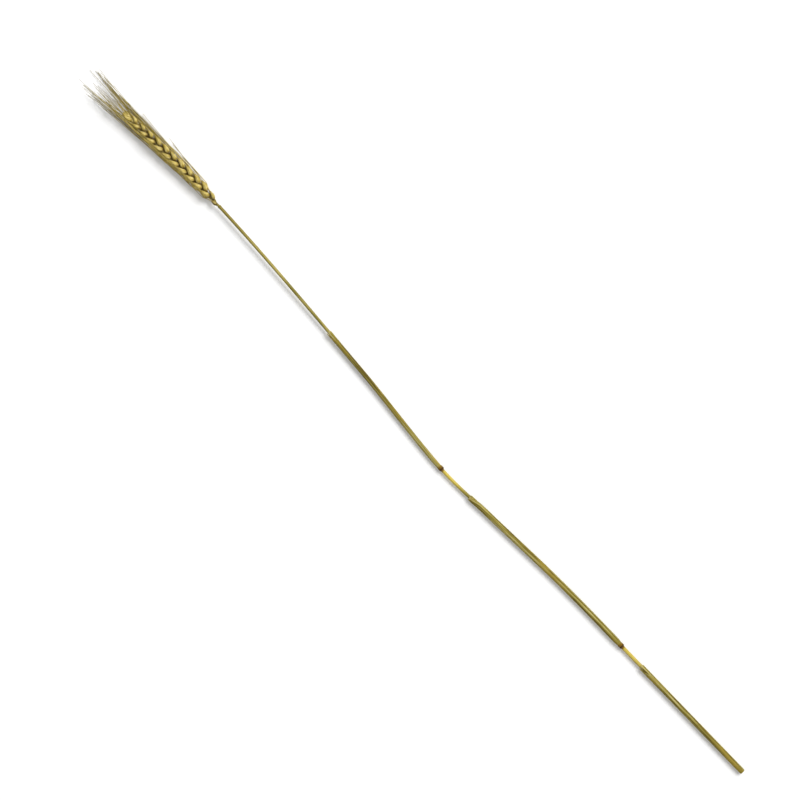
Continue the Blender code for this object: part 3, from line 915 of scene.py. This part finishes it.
# %% Ear: the stalk's thickness and swing
RACHIS_SIDES = 16
RACHIS_RINGS = 6  # to each step
EAR_FOOT = STRAW_LENGTH - 0.3 * MM
COLLAR_RINGS = ((0, 1.12 * MM), (0.25 * MM, 1.27 * MM), (0.6 * MM, 1.3 * MM), (0.95 * MM, 1.2 * MM))
COLLAR_LENGTH = 1.5 * MM


def steps_up(along):
    """How many steps up the ear's stalk this is, counted from the lowest spikelet."""
    return (along - STRAW_LENGTH - FIRST_SPIKELET) / SPIKELET_PITCH


def rachis_radius(along):
    """It widens up each step and narrows quickly past its spikelet."""
    up = max(steps_up(along), -0.4)
    thin = RACHIS_RADIUS + (RACHIS_TIP_RADIUS - RACHIS_RADIUS) * up / SPIKELETS
    return thin * (0.95 + 0.15 * math.sin(2 * math.pi * (up + 0.2)))


def rachis_swing(along):
    """To one side at one spikelet and to the other at the next."""
    return ZIGZAG * math.cos(math.pi * steps_up(along)) * eased((along - EAR_FOOT - MM) / (2 * MM))


# %% Ear: extrude the stalk
bpy.ops.object.select_all(action="DESELECT")
bpy.ops.mesh.primitive_circle_add(
    vertices=RACHIS_SIDES, radius=COLLAR_RINGS[0][1], fill_type="NGON"
)
rachis = begin("rachis")
bpy.ops.transform.translate(value=(0, 0, EAR_FOOT))
rings = [(EAR_FOOT + up, radius) for up, radius in COLLAR_RINGS]
for ring in range(int((SPIKELETS + 0.5) * RACHIS_RINGS)):
    along = EAR_FOOT + COLLAR_LENGTH + ring * SPIKELET_PITCH / RACHIS_RINGS
    rings.append((along, rachis_radius(along)))
for (here, thick), (along, radius) in zip(rings, rings[1:]):
    add_ring(along - here, radius / thick, along)
close_up()
note_places(rachis)
for vertex in rachis.data.vertices:
    vertex.co.x += rachis_swing(vertex.co.z)
lay_along_stalk(rachis)
keep(rachis, "ear", straw_skin)

# %% [markdown]
# ## Growing the spikelets
# For each spikelet the plan gives every husk a base, a direction and a back. A copy of the right
# model is moved there, with its own mesh. An awn begins inside its husk, leaves by the husk's tip,
# swings out past the husks above it and runs on, spreading slowly. No awn dips below the surface that
# the ear lies on. The pieces of a spikelet are joined, because they grow together.

# %% Ear: copies
def copy_piece(model, name, matrix, tint, material):
    """A copy with its own mesh, moved into place and given its tint."""
    copy = model.copy()
    copy.data = model.data.copy()
    copy.name = name
    bpy.context.scene.collection.objects.link(copy)
    copy.data.transform(matrix)
    store = copy.data.attributes.new("tint", "FLOAT", "POINT")
    for value in store.data:
        value.value = tint
    copy.data.materials.clear()
    copy.data.materials.append(material)
    return copy


def note_painted_shade(piece, darkest):
    """Each husk vertex notes painted shade, more near the ear's line, and none sinks into the surface.
    """
    store = piece.data.attributes.new("painted_shade", "FLOAT", "POINT")
    for vertex, note in zip(piece.data.vertices, store.data):
        clear = (vertex.co - stalk_point(vertex.co.x - CUT_END_X)).length
        deep = 1 - eased((clear - DARK_WITHIN) / (LIGHT_BEYOND - DARK_WITHIN))
        note.value = darkest * deep
        vertex.co.z = settled(vertex.co.z, 0, HUSK_SETTLING)


def awn_point(line, past):
    """The point of an awn's line this far past its husk's tip, or inside the husk if below 0."""
    inside = (past - math.hypot(past, AWN_TURN)) / 2
    point = line.tip + line.onward * past + (line.leaving - line.onward) * inside
    point += line.aside * eased(past / SWINGS_OVER) + line.curl * (max(past, 0) / line.length) ** 2
    point.z = settled(point.z, LOWEST_AWN, SETTLING)
    return point


def grow_awn(name, line, tint):
    """A copy of the bristle, each step of it moved to the awn's line."""
    awn = copy_piece(awn_model, name, Matrix.Identity(4), tint, awn_skin)
    for vertex in awn.data.vertices:
        across, up, t = vertex.co
        past = t * (line.length + line.sunk) - line.sunk
        way = (awn_point(line, past + MM) - awn_point(line, past - MM)).normalized()
        side = way.cross(Vector((0, 0, 1))).normalized()
        vertex.co = awn_point(line, past) + side * across + side.cross(way) * up
    return awn


# %% Ear: one spikelet's husks
# Painted shade on the husks: full within DARK_WITHIN of the ear's line, none beyond LIGHT_BEYOND, and
# fading out over the spikelets nearest the tip
DARK_WITHIN = 1.0 * MM  # of the ear's line
LIGHT_BEYOND = 3.2 * MM
TIP_SHADE_FADES = 6  # spikelets from the tip, where the husks stand apart
HUSK_SETTLING = 0.06 * MM
FAN = math.radians(8.5)  # the side florets' lean away from each other
MIDDLE_AWN = 0.8  # a middle floret's awn, against its neighbours'
INNER_AWN = 0.8
MIDDLE_SCATTER = math.radians(80)
MIDDLE_SPREAD = math.radians(4)  # in or out
CLOSES_IN = math.radians(12)  # the uppermost middle awns, over the ear's tip
CLOSES_FROM = 12  # spikelets up
INNER_AWNS_ABOVE = SPIKELETS - 7  # up to it the inner florets bear none
SWINGS_OVER = 7 * MM
AWN_TURN = 1.5 * MM  # how long it takes to turn at its husk's tip
AWN_CURL = 2.8 * MM  # the most that its end bends outwards off a straight line
AwnLine = namedtuple("AwnLine", "tip leaving onward aside curl length sunk")

# Florets of a spikelet: size, place of the base across, away from the ear and along, lean across,
# how much the back looks across and away, whether a glume cups it, and its awn's share of the full
# length and swing out past the husks above
Floret = namedtuple("Floret", "size aside out forward fan faces glume awn swing")
SIDE = Floret(SIDE_FLORET, 0.5 * MM, 0.1 * MM, 0.8 * MM, FAN, (0.8, 0.6), True, 1, 1.2 * MM)
MIDDLE = Floret(MIDDLE_FLORET, 0, 0.1 * MM, 1.9 * MM, 0, (0, 1), False, MIDDLE_AWN, 1.9 * MM)
INNER = Floret(INNER_FLORET, 0, -0.7 * MM, 2.2 * MM, 0, (0, -1), False, INNER_AWN, 0)


def grow_floret(index, kind, form, side, place):
    """A floret, with its glume and its awn if it has them. Its kind seeds its own variation."""
    root, axis, across, outward, size = place
    lean = side * (form.fan + vary(index, kind, FAN_VARIES))
    way = (axis + across * math.tan(lean)).normalized()
    base = root + (across * side * form.aside + outward * form.out + axis * form.forward) * size
    back = across * side * form.faces[0] + outward * form.faces[1]
    length, width, depth = (size * measure for measure in form.size)
    length *= 1 + vary(index, kind, HUSK_LENGTH_VARIES)
    model_length, model_width, model_depth = SIDE_FLORET
    fit = (width / model_width, depth / model_depth, length / model_length, 1)
    move = turned(way, base, back) @ Matrix.Diagonal(fit)
    tint = 0.5 + vary(index, kind + 20, 0.5)
    grown = [copy_piece(floret_model, f"floret_{index}_{kind}", move, tint, husk_skin)]
    if form.glume:
        cup = move @ Matrix.Translation((0, 0, GLUME_START)) @ Matrix.Rotation(-GLUME_FLARE, 4, "X")
        tint = 0.3 + vary(index, kind + 30, 0.3)
        grown.append(copy_piece(glume_model, f"glume_{index}_{kind}", cup, tint, husk_skin))
    for husk in grown:
        note_painted_shade(husk, 1 - eased((index + TIP_SHADE_FADES - SPIKELETS) / TIP_SHADE_FADES))
    if form is not INNER or index > INNER_AWNS_ABOVE:
        sunk = AWN_SINK * size
        share = 1 - sunk / length
        swell = (BACK_SWELL - INNER_FLATNESS) / 4 * fullness(share)
        middle = HUSK_BOW * math.sin(math.pi * share) + swell  # of the husk there, in its depths
        leaving = (way * sunk - back.normalized() * middle * depth).normalized()
        line = awn_plan(index, kind, base + way * length, leaving, size, form)
        grown.append(grow_awn(f"awn_{index}_{kind}", line, 0.5 + vary(index, kind + 40, 0.5)))
    return grown


# %% Ear: one awn's plan
def awn_plan(index, kind, tip, leaving, size, form):
    """How an awn leaves its husk's tip, swings out and runs on."""
    along = STRAW_LENGTH + FIRST_SPIKELET + index * SPIKELET_PITCH
    ahead = stalk_frame(along)[0]
    from_ear = tip - stalk_point(along + (tip - stalk_point(along)).dot(ahead))
    from_ear -= ahead * from_ear.dot(ahead)
    distance = from_ear.length
    from_ear.normalize()
    scatter = AWN_SCATTER if form is SIDE else MIDDLE_SCATTER
    sideways = Matrix.Rotation(vary(index, kind + 3, scatter), 3, ahead) @ from_ear
    length = form.awn * awn_length(index) * (1 + vary(index, kind + 5, AWN_LENGTH_VARIES))
    spread = AWN_SPREAD_BASE + (AWN_SPREAD_TIP - AWN_SPREAD_BASE) * (index / SPIKELETS) ** 2
    spread *= 1 + vary(index, kind + 8, AWN_SPREAD_VARIES)
    if form is not SIDE:
        upper = max(index - CLOSES_FROM, 0) / (SPIKELETS - CLOSES_FROM)
        spread = vary(index, kind + 8, MIDDLE_SPREAD) - CLOSES_IN * upper**3
    onward = (ahead + sideways * math.tan(spread)).normalized()
    above = max(size, spikelet_size(min(index + 3, SPIKELETS - 1)))
    swing = 0 if index == SPIKELETS else form.swing * above + distance * (above / size - 1)
    curl = Matrix.Rotation(vary(index, kind + 11, math.pi / 2), 3, ahead) @ from_ear
    curl *= (1 + vary(index, kind + 13, 1)) * AWN_CURL / 2
    return AwnLine(tip, leaving, onward, from_ear * swing, curl, length - AWN_SINK, AWN_SINK * size)


# %% Ear: one whole spikelet
EAR_SMOOTH_BELOW = math.radians(66)  # so that the awns' six sides are shaded as round


def grow_spikelet(index):
    """All that grows from one step of the ear's stalk, as one piece."""
    last = index == SPIKELETS
    along = STRAW_LENGTH + FIRST_SPIKELET + index * SPIKELET_PITCH
    ahead, level, _ = stalk_frame(along)
    roll = EAR_ROLL + vary(index, 1, ROLL_VARIES) + (math.pi / 2 if last else 0)
    row = Matrix.Rotation(roll, 3, ahead) @ level
    across = ahead.cross(row)
    out = row * (-1 if index % 2 else 1)
    size = TIP_SPIKELET if last else spikelet_size(index)
    lean = 0 if last else SPIKELET_LEAN + vary(index, 2, LEAN_VARIES)
    axis = ahead * math.cos(lean) + out * math.sin(lean)
    outward = axis.cross(across)
    if outward.dot(out) < 0:
        outward = -outward
    root = stalk_point(along - MM) if last else stalk_point(along) + out * SPIKELET_OFFSET
    place = (root, axis, across, outward, size)
    grown = grow_floret(index, 6, SIDE, -1, place) + grow_floret(index, 5, SIDE, 1, place)
    if index > 0:
        grown += grow_floret(index, 9, MIDDLE, 1, place)
    if 0 < index < SPIKELETS:
        grown += grow_floret(index, 11, INNER, 1, place)
    bpy.ops.object.select_all(action="DESELECT")
    for piece in grown:
        piece.select_set(True)
    bpy.context.view_layer.objects.active = grown[0]
    bpy.ops.object.join()
    spikelet = bpy.context.object
    spikelet.name = f"spikelet_{index + 1:02d}"
    bpy.ops.object.shade_smooth_by_angle(angle=EAR_SMOOTH_BELOW)
    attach(spikelet, "root")
    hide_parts("ear")
    return spikelet


# %% Ear: grow them all
faces = sum(len(grow_spikelet(index).data.polygons) for index in range(SPIKELETS + 1))
for model in (floret_model, glume_model, awn_model):
    bpy.data.objects.remove(model)
print(SPIKELETS + 1, "spikelets with", faces, "faces")

# %% [markdown]
# ## Floor, light and camera
# The stalk lies on a plain white surface under soft light, and the camera looks straight down on
# it through a long lens. The stalk runs across the picture from upper left to lower right.

# %% Floor
bpy.ops.object.select_all(action="DESELECT")
bpy.ops.mesh.primitive_plane_add(size=4)
floor = bpy.context.object
floor.name = "floor"
white, _, shader = new_material("white_floor")
shader.inputs["Base Color"].default_value = (0.9, 0.9, 0.9, 1)
shader.inputs["Roughness"].default_value = 0.9
floor.data.materials.append(white)
floor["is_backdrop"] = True

# %% Light
def softbox(name, place, size, power):
    """A square lamp that faces the middle of the stalk."""
    lamp = bpy.data.lights.new(name, "AREA")
    lamp.size = size
    lamp.energy = power
    made = bpy.data.objects.new(name, lamp)
    made.location = place
    made.rotation_euler = (-Vector(place)).to_track_quat("-Z", "Y").to_euler()
    bpy.context.scene.collection.objects.link(made)


softbox("key", (0.1, -2.0, 1.9), 1.8, 96)
softbox("fill", (-0.6, 1.6, 2.0), 1.6, 12)
world = bpy.data.worlds.new("studio")
world.use_nodes = True
world.node_tree.nodes["Background"].inputs["Color"].default_value = (1, 1, 1, 1)
world.node_tree.nodes["Background"].inputs["Strength"].default_value = 0.45
bpy.context.scene.world = world
bpy.context.scene.view_settings.view_transform = "Standard"

# %% Camera
PICTURE = 800
PIXELS_PER_M = 1483
STALK_ANGLE = math.radians(132.8)  # of the stalk in the picture, anticlockwise from its right
MIDDLE_IN_PICTURE = (410, 425)
LENS, SENSOR = 110, 36
lens = bpy.data.cameras.new("camera")
lens.lens, lens.sensor_width = LENS, SENSOR
lens.clip_start, lens.clip_end = 0.01, 20
camera = bpy.data.objects.new("camera", lens)
bpy.context.scene.collection.objects.link(camera)
right = Vector((math.cos(-STALK_ANGLE), math.sin(-STALK_ANGLE), 0))
top = Vector((-math.sin(-STALK_ANGLE), math.cos(-STALK_ANGLE), 0))
off_right = (PICTURE / 2 - MIDDLE_IN_PICTURE[0]) / PIXELS_PER_M
off_up = (MIDDLE_IN_PICTURE[1] - PICTURE / 2) / PIXELS_PER_M
distance = PICTURE / PIXELS_PER_M * LENS / SENSOR
camera.location = right * off_right + top * off_up + Vector((0, 0, distance))
camera.rotation_euler = (0, 0, -STALK_ANGLE)
bpy.context.scene.camera = camera

# %% Check the sizes and finish
seen_box = [list(corner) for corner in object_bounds()]
for axis, a, b in zip("xyz", *[[hi - lo for lo, hi in zip(*box)] for box in (cad_box, seen_box)]):
    print(axis, "frame", round(a / MM, 1), "mm, finished", round(b / MM, 1), "mm")
